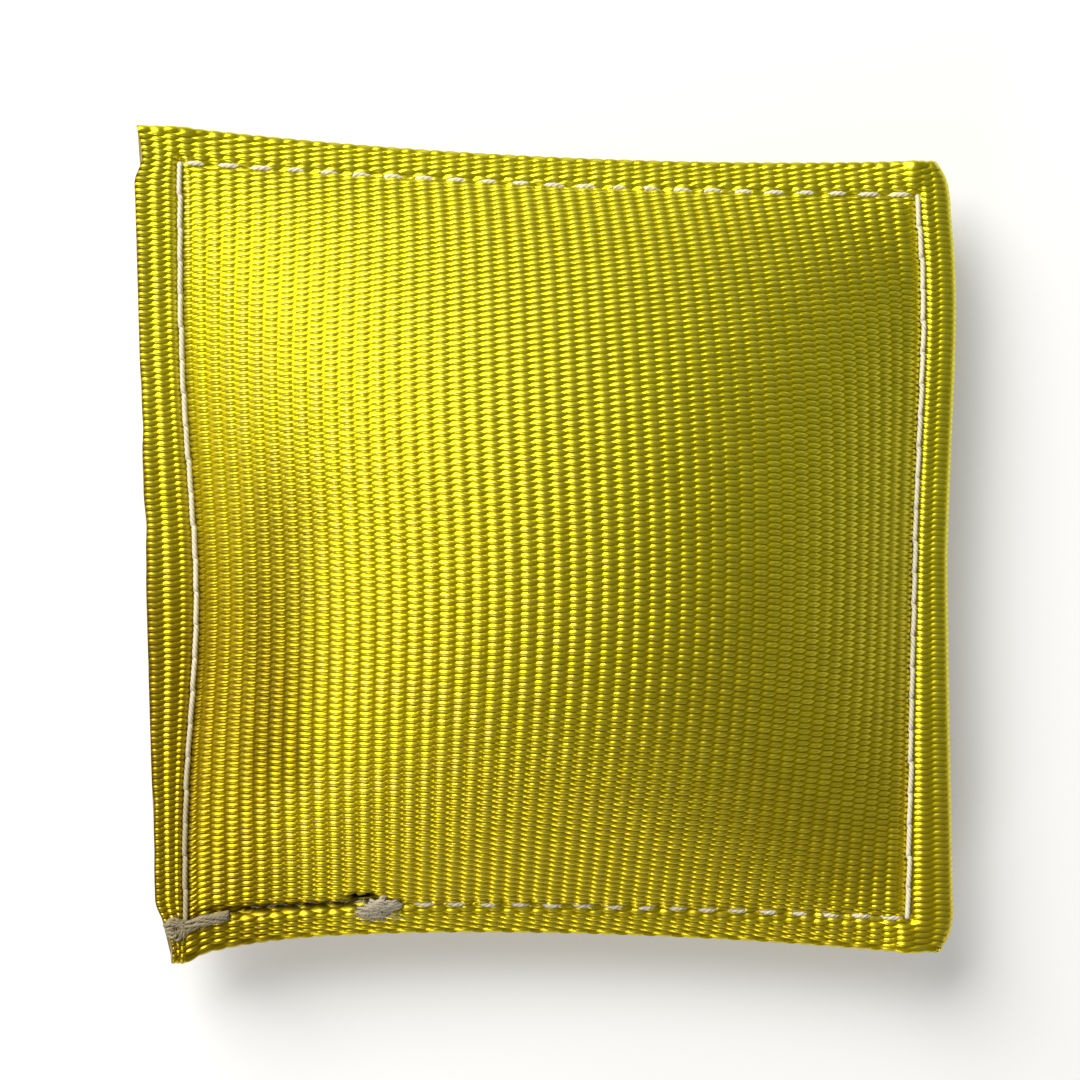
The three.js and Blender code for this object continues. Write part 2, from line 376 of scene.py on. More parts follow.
def groove(s, t):
    """Depth of the hollow that the stitches pull into the webbing, deepest at the holes."""
    folded = from_cut_end(s)
    depth = GROOVE_DEPTH * np.exp(-((from_seam(s, t) / GROOVE_WIDTH) ** 2))
    hole_t = needle_holes(t, SELVEDGE, WIDTH - SELVEDGE)
    hole_s = needle_holes(folded, LEFT_MARGIN, RIGHT_MARGIN)
    for off, step in (
        (folded - LEFT_MARGIN, hole_t),
        (folded - RIGHT_MARGIN, hole_t),
        (t - SELVEDGE, hole_s),
        (t - WIDTH + SELVEDGE, hole_s),
    ):
        depth = depth + HOLE_DEPTH * np.exp(-((off**2 + step**2) / HOLE_WIDTH**2))
    return depth + deep_crease(s, t)


def deep_crease(s, t):
    """The crease of the closing seam and the small opening left beside its knotted end."""
    folded = from_cut_end(s)
    start, end = CREASE_SPAN
    closing = 1 / (1 + np.exp((start - folded) / MM)) / (1 + np.exp((folded - end) / MM))
    crease = CREASE_DEPTH * closing * np.exp(-(((t - SELVEDGE) / CREASE_WIDTH) ** 2))
    gap = ((folded - GAP_CENTRE[0]) / GAP_HALF[0]) ** 2 + ((t - GAP_CENTRE[1]) / GAP_HALF[1]) ** 2
    return crease + GAP_DEPTH * np.exp(-gap) * (s < PLY_LENGTH)


# ---------- the woven surface ----------
SEALED_REACH = 0.5 * MM  # how far the cut ends' melted rim reaches
PLAIN_RELIEF = 0.6  # of the inner side, the selvedges and the melted rim
CUT_WAVER = 0.22 * MM
WAVER_REACH = 1.5 * MM
FOLD_FLAT = (3.0 * MM, 0.85)  # how far from the fold's tip the yarns lie flat, and how flat
CUT_FLAT = (0.7 * MM, 0.6)  # the same, at the cut ends
ROW_LINES = 4  # mesh lines for each yarn: ridge, shoulder, hollow, shoulder
EDGE_RADIUS = THICKNESS / 2
EDGE_TURN = 5  # mesh lines round each selvedge
INNER_LINES = 26
ACROSS_COUNT = int(round((WIDTH - 2 * EDGE_RADIUS) / (ROW / ROW_LINES)))
FINE_STEPS = 6  # mesh lines for each rib on the side that shows
COARSE_STEPS = 4
FLOAT_REACH = 0.72  # half the length of a yarn's float, in ribs: its tips run between its neighbours
ARCH_POWER = 2.3
CREASE_SHADE = 13  # painted shade: how dark the deep crease and the opening beside it are, in steps of the yarns' random tone
TIP_VALLEY = 0.26  # height between the tips of neighbouring floats
SHOULDER = 0.80  # height of a float's side, as a share of its ridge
SHOULDER_SPREAD = 0.13  # how much a float is fatter in its middle, in rows
YARN_UNEVEN = 0.08  # random height of a yarn, as a share of its rise
YARN_WANDER = 0.02 * MM
EVEN_EDGE = 1.5 * MM  # the yarns run straighter this near to a selvedge
RIB_SWELL = 0.12 * MM  # of the selvedges, at each rib
TONE_SEED = 5
LIFT_SEED = 6


def yarn_rise(s):
    """The yarns lie flatter where they are stretched round the fold and where the ends are sealed."""
    fold = np.exp(-(((s - PLY_LENGTH) / FOLD_FLAT[0]) ** 4))
    cut = np.exp(-(from_cut_end(s) / CUT_FLAT[0]) ** 2)
    return YARN_RISE * (1 - FOLD_FLAT[1] * fold) * (1 - CUT_FLAT[1] * cut)


def float_arch(a):
    """Height of a float, a ribs from its middle, as a share of its highest."""
    return np.clip(1 - np.abs(a / FLOAT_REACH) ** ARCH_POWER, 0, 1)


def woven_face(columns, steps):
    """Places (s, t, z) on the outer face, row by row, the relief of the yarns (0 in a hollow, 1 on
    top), a random tone for each yarn, and how far each row is from the middle of its rib."""
    rows = len(columns) * steps + 1
    a = (np.arange(rows) % steps) / steps - 0.5
    a[-1] = 0.5
    column = np.append(np.repeat(columns, steps), columns[-1])
    line = np.arange(ACROSS_COUNT + 1)
    staggered = line[None, :] + 2 * column[:, None]
    phase = staggered % ROW_LINES
    yarn = (staggered + 1) // ROW_LINES % ACROSS_COUNT
    table_shape = (2 * PLY_COLUMNS + 2, ACROSS_COUNT)
    tone = np.random.default_rng(TONE_SEED).uniform(-1, 1, table_shape)[column[:, None], yarn]
    lift = np.random.default_rng(LIFT_SEED).uniform(-1, 1, table_shape)[column[:, None], yarn]

    middle = np.cos(math.pi * a)[:, None]
    ridge = float_arch(a)[:, None] + YARN_UNEVEN * lift * middle
    even = np.ones_like(ridge)
    hollow = float_arch(1 - np.abs(a))[:, None] * even
    shoulder = lerp(TIP_VALLEY * even, SHOULDER * ridge, middle)
    height = np.choose(phase, [ridge, shoulder, hollow, shoulder])
    spread = SHOULDER_SPREAD * ROW * middle * even
    slant = YARN_SLANT * a[:, None] * even
    sideways = np.choose(phase, [slant, spread, -slant, -spread])

    t_line = EDGE_RADIUS + (WIDTH - 2 * EDGE_RADIUS) * line / ACROSS_COUNT
    inward = np.minimum(t_line, WIDTH - t_line) - EDGE_RADIUS
    t = t_line + (sideways + YARN_WANDER * lift * middle) * np.clip(inward / EVEN_EDGE, 0, 1)
    s = np.broadcast_to(((column + 0.5 + a) * PICK)[:, None], t.shape)
    z = EDGE_RADIUS - yarn_rise(s) * (1 - height)
    return s, t, z, height, tone, a


def plain_outline(a):
    """The rest of the outline (t, z): round one selvedge, back along the plain inner side and
    round the other selvedge. The selvedges swell at each rib."""
    turn = math.pi * (np.arange(1, EDGE_TURN + 1) / (EDGE_TURN + 1) - 0.5)
    out = EDGE_RADIUS + (RIB_SWELL * (np.cos(a * math.pi) - 0.6))[:, None]
    top_t = WIDTH - EDGE_RADIUS + out * np.cos(turn)
    top_z = -out * np.sin(turn)
    inner_t = np.linspace(WIDTH - EDGE_RADIUS, EDGE_RADIUS, INNER_LINES)
    inner_t = np.broadcast_to(inner_t, (len(a), INNER_LINES))
    inner_z = np.full(inner_t.shape, -EDGE_RADIUS)
    t = np.concatenate([top_t, inner_t, WIDTH - top_t[:, ::-1]], axis=1)
    z = np.concatenate([top_z, inner_z, top_z[:, ::-1]], axis=1)
    return t, z


def cut_waver(s, t):
    """How far the uneven cutting shifts a place along the strip."""
    wave = np.sin(t / (2.6 * MM) + 1) + 0.6 * np.sin(t / (0.9 * MM)) + np.sin(t / (7.3 * MM))
    near = np.exp(-from_cut_end(s) / WAVER_REACH)
    return np.sign(PLY_LENGTH - s) * 0.5 * (CUT_WAVER * wave) * near


def woven_outline(columns, steps):
    """Places (s, t, z) round the strip's outline, row by row, with the relief and the tone of the yarns
    there. The tone is darkened in the deep crease and its opening as painted shade."""
    s, t, z, relief, tone, a = woven_face(columns, steps)
    plain_t, plain_z = plain_outline(a)
    t = np.concatenate([t, plain_t], axis=1)
    z = np.concatenate([z, plain_z], axis=1)
    s = np.broadcast_to(s[:, :1], t.shape).copy()
    plain_lines = ((0, 0), (0, plain_t.shape[1]))
    relief = np.pad(relief, plain_lines, constant_values=PLAIN_RELIEF)
    tone = np.pad(tone, plain_lines)
    outside = np.arange(t.shape[1]) <= ACROSS_COUNT
    z = z - np.where(outside, groove(s, t), 0)
    s = s + cut_waver(s, t)
    # Painted shade: the tone is darkened in the deep crease and the opening beside it.
    tone = tone - CREASE_SHADE * deep_crease(s, t) / CREASE_DEPTH * outside
    return s, t, z, relief, tone


def ring_caps(t, first, flip):
    """Faces that close one end of a swept outline, between its outer and its inner lines."""
    cols = len(t)
    turn_last = ACROSS_COUNT + EDGE_TURN
    outer = list(range(0, turn_last + 1))
    inner = [0] + list(range(cols - 1, turn_last, -1))
    outer_at = [t[c] if c <= ACROSS_COUNT else WIDTH + c * MM for c in outer]
    inner_at = [-WIDTH if k <= EDGE_TURN else t[c] for k, c in enumerate(inner)]
    faces = []
    o = k = 0
    while o < len(outer) - 1 or k < len(inner) - 1:
        inner_done = k == len(inner) - 1
        if inner_done or (o < len(outer) - 1 and outer_at[o + 1] <= inner_at[k + 1]):
            face = (outer[o], outer[o + 1], inner[k])
            o += 1
        else:
            face = (outer[o], inner[k + 1], inner[k])
            k += 1
        if len(set(face)) == 3:
            faces.append([first * cols + c for c in (face[::-1] if flip else face)])
    return faces


def make_mesh(name, points, quads, triangles, attributes, corner_uv, normals=None, cap_normals=None):
    mesh = bpy.data.meshes.new(name)
    faces = np.concatenate([quads.ravel(), np.asarray(triangles, int).ravel()])
    sizes = np.concatenate([np.full(len(quads), 4), np.full(len(triangles), 3)])
    mesh.vertices.add(len(points))
    mesh.vertices.foreach_set("co", points.astype(np.float32).ravel())
    mesh.loops.add(len(faces))
    mesh.loops.foreach_set("vertex_index", faces.astype(np.int32))
    mesh.polygons.add(len(sizes))
    starts = np.concatenate([[0], np.cumsum(sizes)[:-1]])
    mesh.polygons.foreach_set("loop_start", starts.astype(np.int32))
    mesh.update(calc_edges=True)
    for key, values in attributes.items():
        layer = mesh.attributes.new(key, "FLOAT", "POINT")
        layer.data.foreach_set("value", values.astype(np.float32).ravel())
    uv = mesh.uv_layers.new(name="OFBake")
    uv.data.foreach_set("uv", corner_uv.astype(np.float32).ravel())
    mesh.polygons.foreach_set("use_smooth", np.ones(len(sizes), bool))
    mesh.validate()
    if normals is not None:
        corners = np.concatenate([normals[quads.ravel()], np.repeat(cap_normals, 3, axis=0)])
        mesh.normals_split_custom_set(corners)
    obj = bpy.data.objects.new(name, mesh)
    bpy.context.collection.objects.link(obj)
    return obj


def surface_normals(points):
    """Outward normals of rows of closed outlines."""
    along = np.gradient(points, axis=0)
    around = np.roll(points, -1, axis=1) - np.roll(points, 1, axis=1)
    normal = np.cross(along, around)
    return normal / np.maximum(np.linalg.norm(normal, axis=-1, keepdims=True), 1e-12)


def tube_quads(rows, cols, flip=False):
    """Faces between the rows of closed outlines."""
    r = np.arange(rows - 1)[:, None]
    c = np.arange(cols)[None, :]
    nxt = (c + 1) % cols
    corners = [r * cols + c, (r + 1) * cols + c, (r + 1) * cols + nxt, r * cols + nxt]
    if flip:
        corners = [corners[0], corners[3], corners[2], corners[1]]
    return np.stack(corners, axis=-1).reshape(-1, 4)


def cloth_uv(rows, cols, cap_count):
    """The texture follows the rows and lines of the mesh. The caps share one corner of it."""
    r = np.arange(rows - 1)[:, None]
    c = np.arange(cols)[None, :]
    uv_r = np.stack([r + 0 * c, r + 1 + 0 * c, r + 1 + 0 * c, r + 0 * c], axis=-1) / rows
    uv_c = np.stack([c + 0 * r, c + 0 * r, c + 1 + 0 * r, c + 1 + 0 * r], axis=-1) / cols
    quad_uv = np.stack([0.02 + 0.96 * uv_r, 0.02 + 0.96 * uv_c], axis=-1).reshape(-1, 2)
    return np.concatenate([quad_uv, np.full((3 * cap_count, 2), 0.005)])


def end_directions(ring):
    """The mean direction outward at the first and at the last row."""
    ends = np.array([(ring[0] - ring[1]).mean(axis=0), (ring[-1] - ring[-2]).mean(axis=0)])
    return ends / np.linalg.norm(ends, axis=1, keepdims=True)


def cloth_piece(name, first, last, steps):
    """The strip from one rib to another, as one closed mesh. It is worked out one rib further each
    way, so that its normals meet the next piece's."""
    before = steps if first > 0 else 0
    after = steps if last < 2 * PLY_COLUMNS else 0
    columns = np.arange(first - (before > 0), last + (after > 0))
    s, t, z, relief, tone = woven_outline(columns, steps)
    points = strip_point(s, t, z)
    normals = surface_normals(points)
    kept = slice(before, len(s) - after)
    s, t, relief, tone = s[kept], t[kept], relief[kept], tone[kept]
    points, normals = points[kept], normals[kept]
    rows, cols = t.shape

    first_caps = ring_caps(t[0], 0, flip=False)
    last_caps = ring_caps(t[-1], rows - 1, flip=True)
    caps = first_caps + last_caps
    cap_normals = np.repeat(end_directions(points), [len(first_caps), len(last_caps)], axis=0)
    sealed = np.exp(-(from_cut_end(s) / SEALED_REACH) ** 2)
    layers = {
        "relief": lerp(relief, PLAIN_RELIEF, sealed),
        "tone": tone * (1 - sealed),
        "sealed": sealed,
    }
    uv = cloth_uv(rows, cols, len(caps))
    points, normals = points.reshape(-1, 3), normals.reshape(-1, 3)
    return make_mesh(name, points, tube_quads(rows, cols), caps, layers, uv, normals, cap_normals)


# ---------- threads ----------
THREAD_SIDES = 12
THREAD_STEP = 0.17 * MM
STRAND_NECK = 0.78  # radius between two strands, as a share of the thread's


def seam_place(seam, w):
    """A place on the upper ply, a share w of the way along a seam."""
    w = np.asarray(w, float)
    s = lerp(LEFT_MARGIN, RIGHT_MARGIN, w)
    t = lerp(SELVEDGE, WIDTH - SELVEDGE, w)
    return {
        "left": (np.full_like(w, LEFT_MARGIN), t),
        "right": (np.full_like(w, RIGHT_MARGIN), t),
        "top": (s, np.full_like(w, WIDTH - SELVEDGE)),
        "bottom": (s, np.full_like(w, SELVEDGE)),
    }[seam]


def strand_section(angle, strands=3):
    """The outline of a twisted thread, as a share of its radius."""
    return STRAND_NECK + (1 - STRAND_NECK) * np.abs(np.cos(strands / 2 * angle))


def swept_thread(points, up, radius, turns=1.0):
    """A closed, twisted thread through points. Returns its points, side faces, end faces and strand
    relief.
    """
    along = np.gradient(points, axis=0)
    along /= np.linalg.norm(along, axis=1, keepdims=True)
    side = np.cross(along, up)
    side /= np.linalg.norm(side, axis=1, keepdims=True)
    over = np.cross(side, along)
    length = np.concatenate([[0], np.cumsum(np.linalg.norm(np.diff(points, axis=0), axis=1))])
    twist = turns * 2 * math.pi * length / THREAD_LAY
    angle = 2 * math.pi * np.arange(THREAD_SIDES) / THREAD_SIDES
    outline = strand_section(angle)
    turned = angle[None, :] + twist[:, None]
    ring = np.cos(turned)[..., None] * side[:, None] + np.sin(turned)[..., None] * over[:, None]
    taper = np.ones(len(points))
    taper[[0, -1]] = 0.35
    size = radius * taper[:, None, None] * outline[None, :, None]
    rows, cols = len(points), THREAD_SIDES
    quads = tube_quads(rows, cols, flip=True)
    caps = []
    for k in range(1, cols - 1):
        caps.append([0, k + 1, k])
        caps.append([(rows - 1) * cols, (rows - 1) * cols + k, (rows - 1) * cols + k + 1])
    verts = (points[:, None] + ring * size).reshape(-1, 3)
    relief = np.tile((outline - STRAND_NECK) / (1 - STRAND_NECK), rows)
    return verts, quads, caps, relief


def thread_mesh(name, runs):
    """One piece from several swept threads, each in its own band of the texture."""
    verts, quads, caps, relief, uvs = [], [], [], [], []
    base = 0
    for k, (v, q, c, f) in enumerate(runs):
        rows = len(v) // THREAD_SIDES
        r = (q // THREAD_SIDES).astype(float)
        around = (q % THREAD_SIDES).astype(float)
        wraps = around.max(axis=1) - around.min(axis=1) > 1
        around[wraps] = np.where(around[wraps] == 0, THREAD_SIDES, around[wraps])
        band = (k + 0.05 + 0.9 * around / THREAD_SIDES) / len(runs)
        uvs.append(np.stack([0.01 + 0.98 * r / rows, band], axis=-1).reshape(-1, 2))
        verts.append(v)
        quads.append(q + base)
        caps.extend([[i + base for i in face] for face in c])
        relief.append(f)
        base += len(v)
    uv = np.concatenate(uvs + [np.full((3 * len(caps), 2), 0.003)])
    points = np.concatenate(verts)
    layers = {"relief": np.concatenate(relief)}
    return make_mesh(name, points, np.concatenate(quads), caps, layers, uv)


STITCH_UNEVEN = 0.12  # random height of a stitch, as a share of its height
STITCH_SLANT = 0.07 * MM
STITCH_WANDER = 0.06 * MM


def stitched_path(seam, side, start, end, top, hole, flatness):
    """Points and upward directions of a lockstitch thread from one share of a seam to another:
    "top" is its height over the groove between two holes, "hole" at a hole."""
    seam_length = (RIGHT_MARGIN - LEFT_MARGIN) if seam in ("top", "bottom") else WIDTH - 2 * SELVEDGE
    stitches = stitches_along(seam_length)
    first, last = round(start * stitches), round(end * stitches)
    steps = int(round(STITCH / THREAD_STEP))
    x = np.arange((last - first) * steps + 1) / steps
    s, t = seam_place(seam, (first + x) / stitches)
    within = x % 1.0
    stitch = np.floor(x).astype(int)
    wander = rng.uniform(-1, 1, (2, last - first + 2))
    shape = 1 - np.abs(2 * within - 1) ** flatness
    height = hole + (top * (1 + STITCH_UNEVEN * wander[0][stitch]) - hole) * shape
    slant = STITCH_SLANT * (2 * within - 1) * shape + STITCH_WANDER * wander[1][stitch] * shape
    if seam in ("left", "right"):
        s = s + slant
    else:
        t = t + slant
    if side < 0:
        s = 2 * PLY_LENGTH - s
    point, normal = middle_surface(s, t)
    z = EDGE_RADIUS - GROOVE_DEPTH + height
    return point + normal * z[:, None], normal


SEAM_LOOK = {  # height between holes, height at a hole, flatness of the float
    "left": (0.22 * MM, 0.0, 8),
    "right": (0.24 * MM, 0.0, 8),
    "top": (-0.18 * MM, -1.3 * MM, 2.1),
    "bottom": (-0.16 * MM, -1.2 * MM, 2.0),
}
SUNK_LOOK = (-1.12 * MM, -1.3 * MM, 2.2)  # of the closing seam
MAIN_RUNS = {"left": (0, 1), "top": (0, 1), "right": (0, 1), "bottom": (0.30, 1)}
CLOSING_RUN = (0.10, 0.26)


def stitch_piece(name, seam, side, start, end, look):
    path, up = stitched_path(seam, side, start, end, *look)
    return thread_mesh(name, [swept_thread(path, up, THREAD_RADIUS)])


def laid_path(side, s, t, z):
    """Points and upward directions of a thread lying z above the webbing's face."""
    place = s if side > 0 else 2 * PLY_LENGTH - s
    point, normal = middle_surface(place, t)
    return point + normal * (EDGE_RADIUS + z)[:, None], normal


def rope(side, s, t, z, strands, spread, turns):
    """Threads wound round one another along a line on the webbing."""
    w = np.linspace(0, 1, len(s))
    along_s, along_t = np.gradient(s), np.gradient(t)
    length = np.hypot(along_s, along_t)
    across_s, across_t = -along_t / length, along_s / length
    runs = []
    for k in range(strands):
        wound = 2 * math.pi * (k / strands + turns * w) + 0.5 * np.sin(2 * math.pi * (w + rng.uniform()))
        off = spread * np.cos(wound)
        lift = 0.4 * spread * np.sin(wound)
        path, up = laid_path(side, s + across_s * off, t + across_t * off, z + lift)
        runs.append(swept_thread(path, up, THREAD_RADIUS * rng.uniform(0.55, 0.75), turns=1.4))
    return runs


def fuzz(side, s_range, t_range, count, reach, height):
    """Loose fibres that stand off a worn thread."""
    runs = []
    for _ in range(count):
        u = np.linspace(0, 1, 9)
        heading = rng.uniform(0, 2 * math.pi) + rng.uniform(-2.5, 2.5) * u
        far = reach * rng.uniform(0.4, 1.0) * u
        s = rng.uniform(*s_range) * MM + far * np.cos(heading)
        t = rng.uniform(*t_range) * MM + far * np.sin(heading)
        z = height + 0.35 * MM * np.sin(math.pi * u * rng.uniform(0.6, 1.0))
        path, up = laid_path(side, s, t, z)
        runs.append(swept_thread(path, up, 0.03 * MM))
    return runs


def corner_tack(name, side):
    """The closing seam's first stitches, sewn to and fro over the cut edge: two loops round a hole
    that the needle left, wound together toward the pouch. Places on the strip are in mm."""
    start, end = -0.15, 11.2
    middle, climb = 3.55, 0.5
    hole, spacing = 0.62, 0.12
    strands, spread = 6, 0.42 * MM
    w = np.linspace(0, 1, 40)
    ring = np.sin(math.pi * np.clip(w / 0.5, 0, 1))
    over_edge = np.clip(1 - w / 0.08, 0, 1) ** 2
    sink = np.clip((w - 0.85) / 0.15, 0, 1) ** 2
    height = 0.16 * MM - 0.9 * MM * over_edge - 0.5 * MM * sink
    runs = []
    for bend in (+1, -1):
        s = lerp(start, end, w) * MM
        t = (middle + climb * w + bend * (hole * ring + spacing * (1 - w))) * MM
        runs += rope(side, s, t, height + 0.06 * MM * bend, strands, spread, 1.1 * bend)
    return thread_mesh(name, runs + fuzz(side, (0.5, 8.5), (3.1, 5.0), 26, 1.2 * MM, 0.25 * MM))


def gap_tack(name, side):
    """The knotted end of the closing seam: many short passes, worn into one flat tangle. Places on
    the strip are in mm."""
    middle, half_length, half_width, passes = (29.5, 3.95), 3.0, 1.2, 11
    runs = []
    for k in range(passes):
        w = np.linspace(0, 1, 26)
        lane = (k + 0.5) / passes * 2 - 1
        heading = math.radians(14 + rng.uniform(-9, 9))
        reach = half_length * (1 - 0.72 * abs(lane) ** 1.3) * (2 * w - 1) + 0.5 * lane
        off = half_width * lane + 0.16 * np.sin(2 * math.pi * (1.2 * w + rng.uniform()))
        s = (middle[0] + reach * math.cos(heading) - off * math.sin(heading)) * MM
        t = (middle[1] + reach * math.sin(heading) + off * math.cos(heading)) * MM
        dome = 1 - 0.5 * lane**2
        z = (0.72 * dome * (1 - np.abs(2 * w - 1) ** 2.2) - 0.48) * MM
        runs += rope(side, s, t, z, 2, 0.20 * MM, 1.2)
    return thread_mesh(name, runs + fuzz(side, (27.2, 32.0), (2.9, 5.2), 40, 1.3 * MM, 0.30 * MM))


# ---------- the filling ----------
SHOT_PITCH = 2.6 * MM
SHOT_LINES = 200
SHOT_REACH = 0.97  # how far toward the seams the shot goes
SHOT_CLEAR = 0.35 * MM  # from the webbing's inner face
SHOT_LEAST = 0.02 * MM  # the pile's half thickness at its rim


def ball_relief(x, y):
    """Height of a layer of balls packed in staggered rows, 1 on top of a ball."""
    row_pitch = SHOT_PITCH * math.sqrt(3) / 2
    nearest = np.full(x.shape, SHOT_PITCH)
    for step in (-1, 0, 1):
        row = np.round(y / row_pitch) + step
        stagger = 0.5 * SHOT_PITCH * (row % 2)
        column = np.round((x - stagger) / SHOT_PITCH)
        nearest = np.minimum(nearest, np.hypot(x - stagger - column * SHOT_PITCH, y - row * row_pitch))
    return np.sqrt(1 - np.clip(nearest / (SHOT_PITCH / 2), 0, 0.95) ** 2)


def pile_quads():
    """Faces of the upper and lower side of the pile, and of the wall round its rim."""
    last = SHOT_LINES - 1
    below = SHOT_LINES**2
    i, j = np.meshgrid(np.arange(last), np.arange(last), indexing="ij")
    faces = []
    for k, step in enumerate((+1, -1)):
        first = k * below + i * SHOT_LINES + j
        quad = [first, first + SHOT_LINES, first + SHOT_LINES + 1, first + 1]
        faces.append(np.stack(quad[::step], axis=-1).reshape(-1, 4))
    line = np.arange(SHOT_LINES)
    rim = np.concatenate([
        line[:-1] * SHOT_LINES,
        last * SHOT_LINES + line[:-1],
        line[:0:-1] * SHOT_LINES + last,
        line[:0:-1],
    ])
    nxt = np.roll(rim, -1)
    walls = np.stack([rim, rim + below, nxt + below, nxt], axis=-1)
    return np.concatenate(faces + [walls]), len(walls)


def shot_piece(name):
    """The pile of steel shot, as the surface of its outer balls."""
    share = np.linspace(1 - SHOT_REACH, SHOT_REACH, SHOT_LINES)
    u, v = np.meshgrid(share, share, indexing="ij")
    x, y = seam_plan(u, v)
    relief = ball_relief(x, y)
    points = []
    for side in (+1, -1):
        depth = bulge(u, v, side) - SHOT_CLEAR - SHOT_PITCH / 2 * (1 - relief)
        z = SEAM_HEIGHT + side * np.maximum(depth, SHOT_LEAST)
        points.append(np.stack([x, y, z], axis=-1).reshape(-1, 3))
    quads, wall_count = pile_quads()
    layer, cell = quads // SHOT_LINES**2, quads % SHOT_LINES**2
    uv_u = 0.5 * layer + 0.48 * (cell // SHOT_LINES) / SHOT_LINES + 0.01
    uv_v = 0.98 * (cell % SHOT_LINES) / SHOT_LINES + 0.01
    uv = np.stack([uv_u, uv_v], axis=-1)
    uv[-wall_count:] = 0.003
    layers = {"relief": np.tile(relief.ravel(), 2)}
    no_caps = np.empty((0, 3), int)
    return make_mesh(name, np.concatenate(points), quads, no_caps, layers, uv.reshape(-1, 2))


# ---------- materials ----------
def new_material(name, roughness, specular=0.5):
    material = bpy.data.materials.new(name)
    material.use_nodes = True
    tree = material.node_tree
    shader = tree.nodes["Principled BSDF"]
    shader.inputs["Roughness"].default_value = roughness
    shader.inputs["Specular IOR Level"].default_value = specular
    return material, tree, shader


def add_node(tree, kind, **values):
    node = tree.nodes.new(kind)
    for key, value in values.items():
        setattr(node, key, value)
    return node


def attribute(tree, name):
    return add_node(tree, "ShaderNodeAttribute", attribute_name=name).outputs["Fac"]


def object_place(tree):
    """A place in the object's own space, and its x and y."""
    place = add_node(tree, "ShaderNodeTexCoord").outputs["Object"]
    split = add_node(tree, "ShaderNodeSeparateXYZ")
    tree.links.new(place, split.inputs[0])
    return place, split.outputs["X"], split.outputs["Y"]


def ramp(tree, source, stops):
    node = tree.nodes.new("ShaderNodeValToRGB")
    while len(node.color_ramp.elements) < len(stops):
        node.color_ramp.elements.new(0.5)
    for element, (place, colour) in zip(node.color_ramp.elements, stops):
        element.position = place
        element.color = (*colour, 1)
    tree.links.new(source, node.inputs["Fac"])
    return node.outputs["Color"]


def number(tree, operation, *values):
    """A math node's output. Each value is a number or another node's output."""
    node = add_node(tree, "ShaderNodeMath", operation=operation)
    for place, value in enumerate(values):
        if isinstance(value, (int, float)):
            node.inputs[place].default_value = value
        else:
            tree.links.new(value, node.inputs[place])
    return node.outputs[0]


def noise(tree, place, scale, detail=2.0, stretch=(1, 1, 1)):
    """A noise pattern, about 0.5 on average. The scale is in features per metre."""
    sized = add_node(tree, "ShaderNodeMapping")
    sized.inputs["Scale"].default_value = stretch
    tree.links.new(place, sized.inputs["Vector"])
    node = add_node(tree, "ShaderNodeTexNoise")
    node.inputs["Scale"].default_value = scale
    node.inputs["Detail"].default_value = detail
    tree.links.new(sized.outputs["Vector"], node.inputs["Vector"])
    return node.outputs["Fac"]


def fade(tree, value, start, end):
    """0 at start, 1 at end, smooth between."""
    node = add_node(tree, "ShaderNodeMapRange", interpolation_type="SMOOTHSTEP")
    tree.links.new(value, node.inputs["Value"])
    node.inputs["From Min"].default_value = start
    node.inputs["From Max"].default_value = end
    return node.outputs["Result"]


def fade_from(tree, value, centre, start, end):
    """A fade between two places, in mm from the middle of the pouch."""
    return fade(tree, value, centre + start * MM, centre + end * MM)


def tinted(tree, colour, amount, tint):
    """The colour, multiplied by a tint where the amount is 1."""
    node = add_node(tree, "ShaderNodeMix", data_type="RGBA", blend_type="MULTIPLY")
    tree.links.new(amount, node.inputs[0])
    tree.links.new(colour, node.inputs[6])
    node.inputs[7].default_value = (*tint, 1)
    return node.outputs[2]


def fine_bumps(tree, shader, height, strength, depth):
    bump = add_node(tree, "ShaderNodeBump")
    bump.inputs["Strength"].default_value = strength
    bump.inputs["Distance"].default_value = depth
    tree.links.new(height, bump.inputs["Height"])
    tree.links.new(bump.outputs["Normal"], shader.inputs["Normal"])


YARN_COLOURS = [  # from the hollows to the tops of the yarns: painted shade in the hollows, paler tops as painted highlight
    (0.0, (0.50, 0.41, 0.0)),
    (0.45, (0.70, 0.62, 0.002)),
    (0.9, (0.82, 0.76, 0.045)),
]
# painted warm light, golden toward the lower edge
WARM_LIGHT_TINT = (0.97, 0.86, 0.8)
# painted shade with some soiling, toward the lower left
SHADE_AND_SOIL_TINT = (0.70, 0.635, 0.5)
# painted shade in a band beside the left seam
BAND_SHADE_TINT = (0.62, 0.59, 0.4)
MELTED_TINT = (0.48, 0.40, 1.0)
# painted shade with some soiling, on the threads toward the lower left
THREAD_SHADE_AND_SOIL_TINT = (0.62, 0.58, 0.45)


def painted_warm_light(tree, colour, cloud, x, y):
    """Painted warm light: golden toward the lower edge, greener toward the upper one."""
    across = number(tree, "MULTIPLY_ADD", x, 0.30, y)
    across = number(tree, "MULTIPLY_ADD", cloud, 16 * MM, across)
    return tinted(tree, colour, fade_from(tree, across, CENTRE_Y, 36, -34), WARM_LIGHT_TINT)


def shade_and_soil(tree, colour, cloud, x, y):
    """Painted shade, with some soiling, darkens the lower left of the pouch."""
    left = fade_from(tree, number(tree, "MULTIPLY_ADD", cloud, 10 * MM, x), CENTRE_X, -21, -33)
    low = fade_from(tree, number(tree, "MULTIPLY_ADD", cloud, 20 * MM, y), CENTRE_Y, 34, -6)
    return tinted(tree, colour, number(tree, "MULTIPLY", left, low), SHADE_AND_SOIL_TINT)


